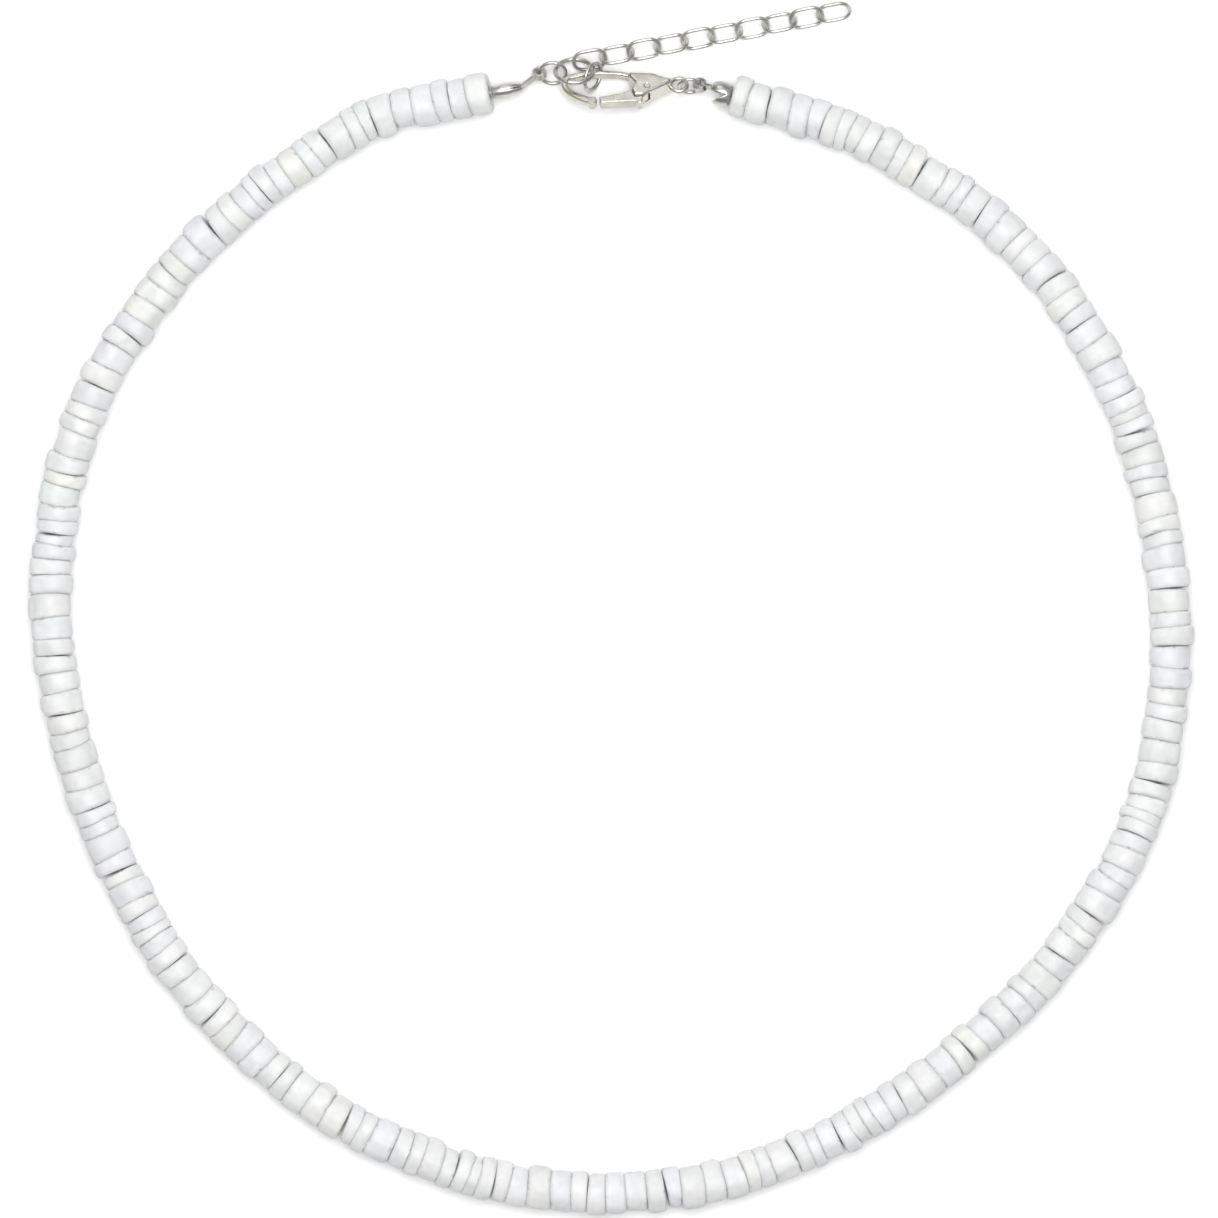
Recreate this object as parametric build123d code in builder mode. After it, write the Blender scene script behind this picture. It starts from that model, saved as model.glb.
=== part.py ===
from build123d import *
import math
import os
from collections import namedtuple

# Shell necklace: drilled shell discs on a thread, lying as a round loop and closed by a lobster clasp,
# with a short extender chain. Millimetres, origin at the middle of the loop on the surface it lies on,
# +Z up, +Y towards the clasp.

# Shell discs
BEAD_DIAMETER = 5.0
BEAD_THICKNESS = 2.05
BEAD_GAP = 0.13
BEAD_EDGE = 0.52
BEAD_EDGE_SHARE = 0.3
# How much each disc is thicker or wider than the mean one, taken in turn along the string
THICKNESS_SHARES = (1.20, 1.00, 0.84, 1.28, 1.10, 1.22, 0.74, 0.82, 1.36, 0.92, 0.72, 1.12, 0.86,
                    0.74, 0.62, 0.84, 0.90, 1.06, 1.30, 1.18, 0.88, 0.96, 1.08)
DIAMETER_SHARES = (1.00, 0.96, 1.02, 0.985, 0.94, 1.015, 0.97, 1.03, 0.99, 0.95, 1.01)
SIDE_SHARES = (0.0, 0.6, -0.4, 0.9, -0.8, 0.3, -1.0)
SIDE_PLAY = 0.16
# Turn and lean of the joint between two discs, and how far it gapes to one side, in degrees
JOINT_TURNS = (0.0, 3.2, 1.4, 4.2, -1.6, -4.4, -1.2, 1.8, -2.4, 2.6, 5.0, 1.4, -2.2)
JOINT_LEANS = (7.0, 9.0, 6.5, 8.0, 4.5, 6.0, 2.5, -0.5, -3.0, -5.5, -3.5, -1.0, 1.5, 0.0, 3.0, 4.5)
JOINT_GAPES = (0.0, 0.0, 1.4, 0.0, 0.0, 0.0, -2.6, 0.0, 0.0, 3.8, 0.0, 0.0, 0.0, 0.0, -2.2, 0.0, 0.0,
               0.0, 6.0)

# Thread
THREAD_DIAMETER = 0.4
THREAD_CLEARANCE = 0.3
KNOT_DIAMETER = 0.75
KNOT_DEPTH = 1.2
# Share of the shorter run that each rounded corner of the thread takes up
CORNER_SHARE = 0.45
# Where the string lies, from the left bead tip round to the right one
STRING_ROUTE = [
    (-13.63, 62.43), (-27.5, 59.96), (-47.26, 46.04), (-60.9, 26.38), (-64.93, 4.11), (-60.12, -19.01),
    (-49.3, -39.48), (-32.95, -54.7), (-11.27, -63.57), (11.26, -63.49), (31.89, -54.47), (50.64, -38.79),
    (62.37, -19.86), (65.17, 2.84), (59.79, 27.03), (47.34, 46.12), (28.02, 58.2), (14.2, 61.97),
]

# Clamshell bead tips: two cups that close on the knot, with a strip rolled into a loop
BeadTip = namedtuple("BeadTip", "length width depth mouth_low mouth_high neck_side loop_turn")
LEFT_TIP = BeadTip(length=3.5, width=2.3, depth=1.65, mouth_low=-0.09, mouth_high=0.09, neck_side=0.0,
                   loop_turn=183)
RIGHT_TIP = BeadTip(length=2.5, width=2.7, depth=2.7, mouth_low=-0.1, mouth_high=1.7, neck_side=-0.4,
                    loop_turn=12)
TIP_WALL = 0.26
TIP_CLEARANCE = 0.2
# Each section of a cup as shares: how far along its length, and how wide for its width
TIP_SECTIONS = ((0.0, 0.78), (0.2, 1.0), (0.72, 0.98), (1.0, 0.62))
TIP_MOUTH_START = 0.22
LOOP_HOLE = 1.1
LOOP_STRIP = 0.28
LOOP_WIDTH = 0.82

# Wire rings, each with its centre, its normal and the radius of its centre line. Each middle is told from
# the clasp: the left ones from the hook's far corner, the right one from the eye
WireRing = namedtuple("WireRing", "centre normal radius wire cut_angle")
JUMP_RING_LEFT_OFFSET = (-1.395, 0.827, -0.214)
END_RING_OFFSET = (1.115, 1.007, 0.736)
HOLD_RING_OFFSET = (3.223, 0.391, 0.01)
JUMP_RING_RIGHT_OFFSET = (1.24, -0.11, -0.295)
RING_KERF = 0.06

# Lobster clasp, in its own plane: lengths along it from hook to eye, widths towards its fixed arm
CLASP_CENTRE = (0.69, 62.72, 2.45)
CLASP_ROLL = 35.0
CLASP_LENGTH = 12.2
CLASP_WIDTH = 4.7
CLASP_BODY_THICKNESS = 2.2
CLASP_EDGE = 0.3
HOOK_WIDTH = 0.5
NOSE_WIDTH = 0.86
HOOK_THICKNESS = 1.05
HOOK_EDGE = 0.22
NUB_DIAMETER = 1.1
# Corners as shares of half the clasp's length and half its width
HOOK_ROUTE = ((0.40, 0.66), (0.10, 0.94), (-0.48, 0.98), (-0.945, 0.62), (-0.945, -0.06), (-0.70, -0.50),
              (-0.43, -0.78))
HOOK_CORNER_INDEX = 3
BODY_OUTLINE = ((0.25, 0.80), (0.68, 0.76), (0.94, 0.50), (1.055, 0.44), (1.055, 0.22), (0.96, 0.06),
                (0.52, -0.56), (0.37, -0.60), (0.30, -0.24), (0.37, 0.20), (0.27, 0.52))
BODY_CORNER = 0.22
EYE_PLACE = (1.2, 0.33)
EYE_RADIUS = 0.93
EYE_WIRE = 0.5

# Lever with its thumb tab, the pin that it turns on and how far it opens into the clasp
LEVER_THICKNESS = 1.3
LEVER_SIDE_CLEARANCE = 0.1
LEVER_OUTLINE = ((-0.265, -0.96), (-0.305, -0.62), (0.10, -0.38), (0.34, -0.10), (0.52, 0.13), (0.66, 0.13),
                 (0.70, -0.14), (0.60, -0.42), (0.52, -0.62), (0.515, -0.97), (0.44, -0.99), (0.385, -0.84))
LEVER_CORNER = 0.12
LEVER_EDGE = 0.1
LEVER_TRAVEL = 16.0
PIVOT_PLACE = (0.60, -0.05)
PIN_DIAMETER = 0.6
PIN_CLEARANCE = 0.03
RIVET_CLEARANCE = 0.01
SLOT_CLEARANCE = 0.14
SLOT_STEPS = 3

# Extender chain of oval links, each rolled the other way from the one before it
LINK_COUNT = 10
LINK_LENGTH = 4.15
LINK_WIDTH = 3.2
LINK_WIRE = 0.42
LINK_CORNER = 1.25
LINK_PLAY = 0.145
LINK_ROLL = 47.0
CHAIN_HEADING = 11.0
# The first link's middle from the middle of the ring that carries it
CHAIN_OFFSET = (1.75, 1.36, -1.11)

os.makedirs("parts", exist_ok=True)


def in_turn(values, index):
    """The value for one place along the string, starting again when the list ends."""
    return values[index % len(values)]


def corner_radii(points, share):
    """Radius of each corner of a route, so that its arc takes the share of the shorter run beside it."""
    radii = []
    for before, corner, after in zip(points, points[1:], points[2:]):
        first = Vector(*corner) - Vector(*before)
        second = Vector(*after) - Vector(*corner)
        half_turn = math.radians(first.get_angle(second)) / 2
        radii.append(share * min(first.length, second.length) / math.tan(half_turn))
    return radii


def save(name, label, shape):
    """Labels a finished piece and writes it."""
    shape.label = label
    export_step(shape, "parts/" + label + ".step")
    print(name, label, round(shape.volume, 3))


# The string's line, at the height of the discs' holes
string_height = BEAD_DIAMETER / 2
string_points = [(x, y, string_height) for x, y in STRING_ROUTE]
string_radii = corner_radii(string_points, CORNER_SHARE)
with BuildLine() as string_line:
    FilletPolyline(*string_points, radius=string_radii)
string_wire = string_line.wire()
string_length = string_wire.length


def string_place(distance):
    """Point and direction of the string at a distance along it."""
    point = string_wire.position_at(distance, position_mode=PositionMode.LENGTH)
    heading = string_wire.tangent_at(distance, position_mode=PositionMode.LENGTH)
    return point, heading


# Joints between the discs, spread over the whole string
bead_count = round(string_length / BEAD_THICKNESS)
bead_shares = [in_turn(THICKNESS_SHARES, index) for index in range(bead_count)]
share_length = string_length / sum(bead_shares)
joint_distances = [share_length * sum(bead_shares[:index]) for index in range(bead_count + 1)]


def bead_face(index, side):
    """Plane of a disc's face at one joint: side 1 for the disc after the joint, -1 for the one before."""
    gape = in_turn(JOINT_GAPES, index) / 2
    half_gap = BEAD_GAP / 2 + BEAD_DIAMETER / 2 * math.tan(math.radians(abs(gape)))
    point, heading = string_place(joint_distances[index])
    sideways = Axis(point, heading.rotate(Axis.Z, 90))
    normal = heading.rotate(Axis.Z, in_turn(JOINT_TURNS, index) + side * gape)
    normal = normal.rotate(sideways, in_turn(JOINT_LEANS, index))
    return Plane(origin=point + heading * half_gap * side, z_dir=normal)


def make_bead(index):
    """One drilled disc between its two joints, standing on the surface."""
    start, end = joint_distances[index], joint_distances[index + 1]
    thickness = end - start
    diameter = BEAD_DIAMETER * in_turn(DIAMETER_SHARES, index)
    point, heading = string_place((start + end) / 2)
    seat = Plane(origin=point, x_dir=heading.rotate(Axis.Z, 90), z_dir=heading)
    aside = SIDE_PLAY * in_turn(SIDE_SHARES, index)
    with BuildPart() as bead:
        with BuildSketch(seat):
            with Locations((aside, (diameter - BEAD_DIAMETER) / 2)):
                Circle(diameter / 2)
            Circle(THREAD_DIAMETER / 2 + THREAD_CLEARANCE, mode=Mode.SUBTRACT)
        extrude(amount=thickness, both=True)
        split(bisect_by=bead_face(index, 1), keep=Keep.TOP)
        split(bisect_by=bead_face(index + 1, -1), keep=Keep.BOTTOM)
        rim = bead.faces().filter_by(GeomType.CYLINDER).sort_by(SortBy.AREA)[-1]
        rim_edges = rim.edges().filter_by(GeomType.LINE, reverse=True)
        fillet(rim_edges, radius=min(BEAD_EDGE, BEAD_EDGE_SHARE * thickness))
    return bead.part


beads = [make_bead(index) for index in range(bead_count)]
half_count = bead_count // 2
bead_strand_left = Compound(children=beads[:half_count])
save("discs", "bead_strand_left", bead_strand_left)
bead_strand_right = Compound(children=beads[half_count:])
save("discs", "bead_strand_right", bead_strand_right)

# Thread through all the discs, with a knot inside each bead tip
left_seat, left_heading = string_place(0)
right_seat, right_heading = string_place(string_length)
left_knot = left_seat - left_heading * KNOT_DEPTH
right_knot = right_seat + right_heading * KNOT_DEPTH
with BuildPart() as thread:
    with BuildLine() as thread_line:
        FilletPolyline(left_knot, *string_points[1:-1], right_knot, radius=string_radii)
    with BuildSketch(Plane(origin=left_knot, z_dir=left_heading)):
        Circle(THREAD_DIAMETER / 2)
    sweep(path=thread_line.wire())
    with Locations(left_knot, right_knot):
        Sphere(KNOT_DIAMETER / 2)
save("thread", "thread", thread.part)
tube_volume = math.pi * THREAD_DIAMETER ** 2 / 4 * thread_line.wire().length
print("string", round(string_length, 2), "discs", bead_count, "thread tube", round(tube_volume, 2))
print("string radii", [round(radius, 1) for radius in string_radii])


# The clasp's plane, with the points that the other pieces are placed from
roll_angle = math.radians(CLASP_ROLL)
clasp_normal = (0, math.sin(roll_angle), math.cos(roll_angle))
clasp_plane = Plane(origin=CLASP_CENTRE, x_dir=(1, 0, 0), z_dir=clasp_normal)


def on_clasp(share):
    """A point of the clasp's plan from its shares of half the length and half the width."""
    return (share[0] * CLASP_LENGTH / 2, share[1] * CLASP_WIDTH / 2)


hook_points = [on_clasp(share) for share in HOOK_ROUTE]
eye_centre = on_clasp(EYE_PLACE)
pivot = on_clasp(PIVOT_PLACE)
hook_corner = clasp_plane.from_local_coords((*hook_points[HOOK_CORNER_INDEX], 0))
eye_middle = clasp_plane.from_local_coords((*eye_centre, 0))


# Wire rings: one on the left bead tip, one that carries the chain, the one in the clasp's hook, and one
# between the clasp's eye and the right bead tip
def tilted(turn, lean):
    """Normal of a ring whose upright normal leans over by an angle, towards a heading."""
    flat = math.sin(math.radians(lean))
    heading = math.radians(turn)
    return (flat * math.cos(heading), flat * math.sin(heading), math.cos(math.radians(lean)))


RINGS = {
    "jump_ring_left": WireRing(hook_corner + JUMP_RING_LEFT_OFFSET, tilted(-90, 40.7), 1.5, 0.44, 70),
    "end_ring": WireRing(hook_corner + END_RING_OFFSET, tilted(90, 49.5), 2.18, 0.54, 70),
    "clasp_hold_ring": WireRing(hook_corner + HOLD_RING_OFFSET, tilted(-19.2, 60.8), 1.6, 0.44, 150),
    "jump_ring_right": WireRing(eye_middle + JUMP_RING_RIGHT_OFFSET, tilted(-90, 55.4), 1.2, 0.42, 80),
}


def ring_plane(ring):
    """Plane of a ring, with its first direction level."""
    normal = Vector(*ring.normal)
    return Plane(origin=ring.centre, x_dir=Vector(0, 0, 1).cross(normal), z_dir=normal)


for ring_name, ring in RINGS.items():
    with BuildPart(ring_plane(ring)) as wire_ring:
        Torus(ring.radius, ring.wire / 2)
        with Locations(Rotation(0, 0, ring.cut_angle)):
            Box(2 * ring.radius, RING_KERF, ring.wire, align=(Align.MIN, Align.CENTER, Align.CENTER),
                mode=Mode.SUBTRACT)
    save("ring", ring_name, wire_ring.part)


def ring_edge(ring, toward):
    """Point on a ring's centre line that lies furthest towards a direction, and the wire's heading there."""
    normal = Vector(*ring.normal)
    outward = (toward - normal * toward.dot(normal)).normalized()
    return ring.centre + outward * ring.radius, normal.cross(outward)


def make_bead_tip(tip, seat, along, ring):
    """One clamshell tip from the string's end, along its heading, to the ring that the tip's loop holds."""
    toward = Vector(1, 0, 0).rotate(Axis.Z, tip.loop_turn)
    aim, wire_heading = ring_edge(ring, toward)
    level = Vector(0, 0, 1).cross(along)
    pod = Plane(origin=seat + along * TIP_CLEARANCE, x_dir=level, z_dir=along)
    front = seat + along * (TIP_CLEARANCE + tip.length) + level * tip.neck_side
    neck = front - aim
    loop_axis = wire_heading - neck * (wire_heading.dot(neck) / neck.dot(neck))
    with BuildPart() as bead_tip:
        for share, breadth in TIP_SECTIONS:
            with BuildSketch(pod.offset(share * tip.length)):
                Ellipse(tip.depth / 2 * breadth, tip.width / 2 * breadth)
        loft()
        for share, breadth in TIP_SECTIONS:
            with BuildSketch(pod.offset(TIP_WALL + share * (tip.length - 2 * TIP_WALL))):
                Ellipse(tip.depth / 2 * breadth - TIP_WALL, tip.width / 2 * breadth - TIP_WALL)
        loft(mode=Mode.SUBTRACT)
        with BuildSketch(pod):
            Circle(THREAD_DIAMETER / 2 + THREAD_CLEARANCE / 2)
        extrude(amount=2 * TIP_WALL, mode=Mode.SUBTRACT)
        with BuildSketch(Plane(origin=pod.origin, x_dir=along, z_dir=pod.y_dir)):
            with BuildLine():
                Polyline((tip.length * TIP_MOUTH_START, 0), (tip.length + TIP_WALL, tip.mouth_low),
                         (tip.length + TIP_WALL, tip.mouth_high), close=True)
            make_face()
        extrude(amount=tip.width, both=True, mode=Mode.SUBTRACT)
        with BuildSketch(Plane(origin=aim, x_dir=neck, z_dir=loop_axis)):
            Circle(LOOP_HOLE / 2 + LOOP_STRIP)
            with Locations((LOOP_HOLE / 2, 0)):
                Rectangle(neck.length - LOOP_HOLE / 2 + 2 * TIP_WALL, LOOP_STRIP,
                          align=(Align.MIN, Align.CENTER))
            Circle(LOOP_HOLE / 2, mode=Mode.SUBTRACT)
        extrude(amount=LOOP_WIDTH / 2, both=True)
    return bead_tip.part


save("tip", "bead_tip_left", make_bead_tip(LEFT_TIP, left_seat, -left_heading, RINGS["jump_ring_left"]))
save("tip", "bead_tip_right", make_bead_tip(RIGHT_TIP, right_seat, right_heading, RINGS["jump_ring_right"]))

# Extender chain
chain_heading = Vector(math.cos(math.radians(CHAIN_HEADING)), math.sin(math.radians(CHAIN_HEADING)), 0)
chain_start = RINGS["end_ring"].centre + CHAIN_OFFSET
link_pitch = LINK_LENGTH - 2 * LINK_WIRE - LINK_PLAY
for index in range(LINK_COUNT):
    centre = chain_start + chain_heading * (link_pitch * index)
    roll = LINK_ROLL if index % 2 == 0 else -LINK_ROLL
    link_normal = Vector(0, 0, 1).rotate(Axis((0, 0, 0), chain_heading), roll)
    half_long = (LINK_LENGTH - LINK_WIRE) / 2
    half_wide = (LINK_WIDTH - LINK_WIRE) / 2
    with BuildPart() as link:
        with BuildLine(Plane(origin=centre, x_dir=chain_heading, z_dir=link_normal)) as link_line:
            FilletPolyline((-half_long, -half_wide), (half_long, -half_wide), (half_long, half_wide),
                           (-half_long, half_wide), radius=LINK_CORNER, close=True)
        link_wire = link_line.wire()
        with BuildSketch(Plane(origin=link_wire @ 0, z_dir=link_wire % 0)):
            Circle(LINK_WIRE / 2)
        sweep(path=link_wire)
    save("link", "extender_link_%02d" % (index + 1), link.part)

# Lobster clasp
slot_width = LEVER_THICKNESS + 2 * LEVER_SIDE_CLEARANCE


def lever_corners(opening):
    """Corners of the lever's plan when it has turned about its pivot by an opening angle in degrees."""
    corners = [Vector(*on_clasp(share)) - Vector(*pivot) for share in LEVER_OUTLINE]
    return [Vector(*pivot) + corner.rotate(Axis.Z, -opening) for corner in corners]


with BuildPart() as clasp_body:
    with BuildSketch(clasp_plane):
        with BuildLine():
            Polyline(*[on_clasp(share) for share in BODY_OUTLINE], close=True)
        make_face()
        fillet(vertices(), radius=BODY_CORNER)
    extrude(amount=CLASP_BODY_THICKNESS / 2, both=True)
    fillet(faces().filter_by(clasp_plane).edges(), radius=CLASP_EDGE)
    for step in range(SLOT_STEPS):
        with BuildSketch(clasp_plane):
            with BuildLine():
                Polyline(*lever_corners(LEVER_TRAVEL * step / (SLOT_STEPS - 1)), close=True)
            make_face()
            offset(amount=SLOT_CLEARANCE)
        extrude(amount=slot_width / 2, both=True, mode=Mode.SUBTRACT)
    with Locations(clasp_plane.location * Location((*eye_centre, 0))):
        Torus(EYE_RADIUS, EYE_WIRE / 2)
    with BuildLine(clasp_plane) as hook_line:
        FilletPolyline(*hook_points, radius=corner_radii(hook_points, CORNER_SHARE))
    hook_wire = hook_line.wire()
    for share, width in ((0, HOOK_WIDTH), (1, NOSE_WIDTH)):
        with BuildSketch(Plane(origin=hook_wire @ share, x_dir=clasp_plane.z_dir, z_dir=hook_wire % share)):
            RectangleRounded(HOOK_THICKNESS, width, HOOK_EDGE)
    sweep(path=hook_wire, multisection=True)
    with BuildSketch(clasp_plane):
        with Locations(hook_points[-1]):
            Circle(NUB_DIAMETER / 2)
    extrude(amount=HOOK_THICKNESS / 2, both=True)
    with BuildSketch(clasp_plane):
        with Locations(pivot):
            Circle(PIN_DIAMETER / 2 + RIVET_CLEARANCE)
    extrude(amount=CLASP_BODY_THICKNESS, both=True, mode=Mode.SUBTRACT)
save("clasp", "clasp_body", clasp_body.part)

with BuildPart() as clasp_lever:
    with BuildSketch(clasp_plane):
        with BuildLine():
            Polyline(*lever_corners(0), close=True)
        make_face()
        fillet(vertices(), radius=LEVER_CORNER)
    extrude(amount=LEVER_THICKNESS / 2, both=True)
    fillet(faces().filter_by(clasp_plane).edges(), radius=LEVER_EDGE)
    with BuildSketch(clasp_plane):
        with Locations(pivot):
            Circle(PIN_DIAMETER / 2 + PIN_CLEARANCE)
    extrude(amount=LEVER_THICKNESS, both=True, mode=Mode.SUBTRACT)
save("clasp", "clasp_lever", clasp_lever.part)

with BuildPart() as clasp_pivot_pin:
    with BuildSketch(clasp_plane):
        with Locations(pivot):
            Circle(PIN_DIAMETER / 2)
    extrude(amount=CLASP_BODY_THICKNESS / 2, both=True)
save("clasp", "clasp_pivot_pin", clasp_pivot_pin.part)
print("lever pivot", clasp_plane.from_local_coords((*pivot, 0)), "opening axis", -clasp_plane.z_dir)
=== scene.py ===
"""Looks of the shell necklace: drilled shell discs, plated wire parts and a cast lobster clasp.

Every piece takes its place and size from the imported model, in metres, +Z up and +Y towards the clasp.
"""

import logging
import math
from collections.abc import Callable, Iterable
from dataclasses import dataclass
from enum import Enum
from functools import partial
from typing import ClassVar

import bmesh
import bpy
import numpy as np
from bpy.types import Material, Mesh, Node, NodeSocket, NodeTree, Object
from mathutils import Matrix, Vector


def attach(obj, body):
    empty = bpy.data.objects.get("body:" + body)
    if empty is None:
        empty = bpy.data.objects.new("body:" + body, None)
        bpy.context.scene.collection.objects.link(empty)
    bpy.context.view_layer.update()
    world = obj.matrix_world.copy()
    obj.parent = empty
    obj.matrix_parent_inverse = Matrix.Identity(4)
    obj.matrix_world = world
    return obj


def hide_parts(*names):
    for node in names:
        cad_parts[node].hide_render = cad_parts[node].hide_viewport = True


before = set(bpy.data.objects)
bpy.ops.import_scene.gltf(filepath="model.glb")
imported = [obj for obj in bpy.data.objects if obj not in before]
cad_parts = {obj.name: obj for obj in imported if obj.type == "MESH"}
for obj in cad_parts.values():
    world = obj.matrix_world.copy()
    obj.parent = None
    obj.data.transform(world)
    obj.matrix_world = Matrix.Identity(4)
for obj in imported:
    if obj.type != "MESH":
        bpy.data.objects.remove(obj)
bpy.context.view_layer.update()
MM = 0.001
MERGE_DISTANCE = 0.0005 * MM
LOG = logging.getLogger("shell_necklace")

ATTRIBUTE = "ShaderNodeAttribute"
COMBINE = "ShaderNodeCombineXYZ"
MAP_RANGE = "ShaderNodeMapRange"
MATH = "ShaderNodeMath"
MIX = "ShaderNodeMix"
NAMED = "GeometryNodeInputNamedAttribute"
NOISE = "ShaderNodeTexNoise"
PRINCIPLED = "ShaderNodeBsdfPrincipled"
SEPARATE = "ShaderNodeSeparateXYZ"
STORE = "GeometryNodeStoreNamedAttribute"
VECTOR_MATH = "ShaderNodeVectorMath"


class Body(Enum):
    """The bodies that pieces ride on."""

    NECKLACE = "necklace"
    LEVER = "clasp_lever"


class Slot(Enum):
    """Names of the material slots."""

    SHELL = "shell"
    THREAD = "thread"
    CHAIN = "chain_metal"
    CLASP = "clasp_metal"


def linear(hex_colour: str) -> tuple[float, float, float, float]:
    """Turns an sRGB hex colour into a linear one.

    Args:
        hex_colour: Six hex digits after a hash sign.

    Returns:
        Linear red, green and blue, and an alpha of one.
    """
    parts = [int(hex_colour[at:at + 2], 16) / 255 for at in (1, 3, 5)]
    return (*[part / 12.92 if part <= 0.04045 else ((part + 0.055) / 1.055) ** 2.4 for part in parts], 1.0)


def add_node(tree: NodeTree, kind: str, inputs: dict | tuple = (), operation: str = "",
             **settings: object) -> Node:
    """Adds a node with its settings, values and links.

    Args:
        tree: The tree that gets the node.
        kind: The node's type name.
        inputs: Values in the order of the inputs, or by an input's name or number. A value may be a socket,
            or a node whose first output in use is meant.
        operation: What a math node works out.
        settings: The node's own properties.

    Returns:
        The new node.
    """
    node = tree.nodes.new(kind)
    if operation:
        node.operation = operation
    for name, value in settings.items():
        setattr(node, name, value)
    for key, value in inputs.items() if isinstance(inputs, dict) else enumerate(inputs):
        if isinstance(value, Node):
            value = next(output for output in value.outputs if output.enabled)
        if isinstance(value, NodeSocket):
            tree.links.new(value, node.inputs[key])
        else:
            node.inputs[key].default_value = value
    return node


def spans(before: tuple[float, float], after: tuple[float, float] = (0.0, 1.0)) -> dict[str, float]:
    """Names the inputs of a Map Range node.

    Args:
        before: The values that are mapped.
        after: What they become.

    Returns:
        Input name to its value.
    """
    return dict(zip(("From Min", "From Max", "To Min", "To Max"), before + after))


class GeometryTree:
    """A Geometry Nodes tree with named sizes, run once on a carrier object."""

    def __init__(self, name: str, sizes: dict[str, float | int]) -> None:
        """Makes the tree with one named input for each size.

        Args:
            name: The tree's name.
            sizes: Input name to its value; whole numbers make whole-number inputs.
        """
        self.tree = bpy.data.node_groups.new(name, "GeometryNodeTree")
        self.sizes = sizes
        self.identifiers: dict[str, str] = {}
        self.tree.interface.new_socket("Geometry", in_out="INPUT", socket_type="NodeSocketGeometry")
        self.tree.interface.new_socket("Geometry", in_out="OUTPUT", socket_type="NodeSocketGeometry")
        for label, value in sizes.items():
            kind = "NodeSocketInt" if isinstance(value, int) else "NodeSocketFloat"
            socket = self.tree.interface.new_socket(label, in_out="INPUT", socket_type=kind)
            self.identifiers[label] = socket.identifier
        self.inputs = self.add("NodeGroupInput").outputs

    def add(self, *what: object, **settings: object) -> Node:
        """Adds a node to this tree, as add_node does."""
        return add_node(self.tree, *what, **settings)

    def finish(self, geometry: Node, material: Material) -> None:
        """Ends the tree in Realize Instances and Set Material.

        Args:
            geometry: The node that gives the finished geometry.
            material: The material of the whole piece.
        """
        realized = self.add("GeometryNodeRealizeInstances", {"Geometry": geometry})
        smooth = self.add("GeometryNodeSetShadeSmooth", {"Geometry": realized})
        dressed = self.add("GeometryNodeSetMaterial", {"Geometry": smooth, "Material": material})
        self.add("NodeGroupOutput", {"Geometry": dressed})

    def run(self, carrier: Object) -> None:
        """Turns the carrier into the plain mesh that the tree makes of it.

        Args:
            carrier: A mesh object whose vertices are the tree's input.
        """
        modifier = carrier.modifiers.new(self.tree.name, "NODES")
        modifier.node_group = self.tree
        for label, value in self.sizes.items():
            modifier[self.identifiers[label]] = value
        bake_modifiers(carrier)


def bake_modifiers(carrier: Object) -> None:
    """Replaces an object's mesh by what its modifiers make of it, and removes them.

    Args:
        carrier: The object with its modifiers still live.
    """
    depsgraph = bpy.context.evaluated_depsgraph_get()
    mesh = bpy.data.meshes.new_from_object(carrier.evaluated_get(depsgraph), preserve_all_data_layers=True,
                                           depsgraph=depsgraph)
    carrier.modifiers.clear()
    carrier.data = mesh


def new_object(name: str, mesh: Mesh) -> Object:
    """Puts a mesh into the scene as an object at the origin.

    Args:
        name: The object's name.
        mesh: Its mesh, with its place in it.

    Returns:
        The new object.
    """
    piece = bpy.data.objects.new(name, mesh)
    bpy.context.scene.collection.objects.link(piece)
    return piece


def point_carrier(name: str, points: Iterable, columns: dict[str, list]) -> Object:
    """Makes a mesh of loose points that carry named attributes.

    Args:
        name: The object's name.
        points: The points' places.
        columns: Attribute name to one number or one vector for each point.

    Returns:
        The new object.
    """
    mesh = bpy.data.meshes.new(name)
    mesh.from_pydata([tuple(point) for point in points], [], [])
    for label, values in columns.items():
        rows = np.array(values, float)
        kind, key = ("FLOAT", "value") if rows.ndim == 1 else ("FLOAT_VECTOR", "vector")
        mesh.attributes.new(label, kind, "POINT").data.foreach_set(key, rows.ravel())
    return new_object(name, mesh)


def outward_normals(mesh: Mesh) -> None:
    """Turns a closed mesh's faces outwards.

    Args:
        mesh: The mesh, whose doubles are merged.
    """
    work = bmesh.new()
    work.from_mesh(mesh)
    bmesh.ops.recalc_face_normals(work, faces=work.faces)
    work.to_mesh(mesh)
    work.free()


def dress(piece: Object, body: Body, slot: Slot, *nodes: str) -> None:
    """Puts a finished piece on its body and hides the CAD nodes that it stands for.

    Args:
        piece: The finished piece.
        body: The body that it rides on.
        slot: Not used.
        nodes: The CAD nodes that it replaces.
    """
    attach(piece, body.value)
    if nodes:
        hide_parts(*nodes)
    faces = len(piece.data.polygons)
    LOG.info("%s rides on %s, %d faces, for %s", piece.name, body.value, faces, ", ".join(nodes) or "itself")


def keep_node(name: str, material: Material, slot: Slot) -> None:
    """Dresses a CAD node that is shown as it is.

    Args:
        name: The CAD node's name.
        material: Its material.
        slot: Not used.
    """
    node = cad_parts[name]
    node.data.materials.clear()
    node.data.materials.append(material)
    LOG.info("%s is kept", name)


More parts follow.
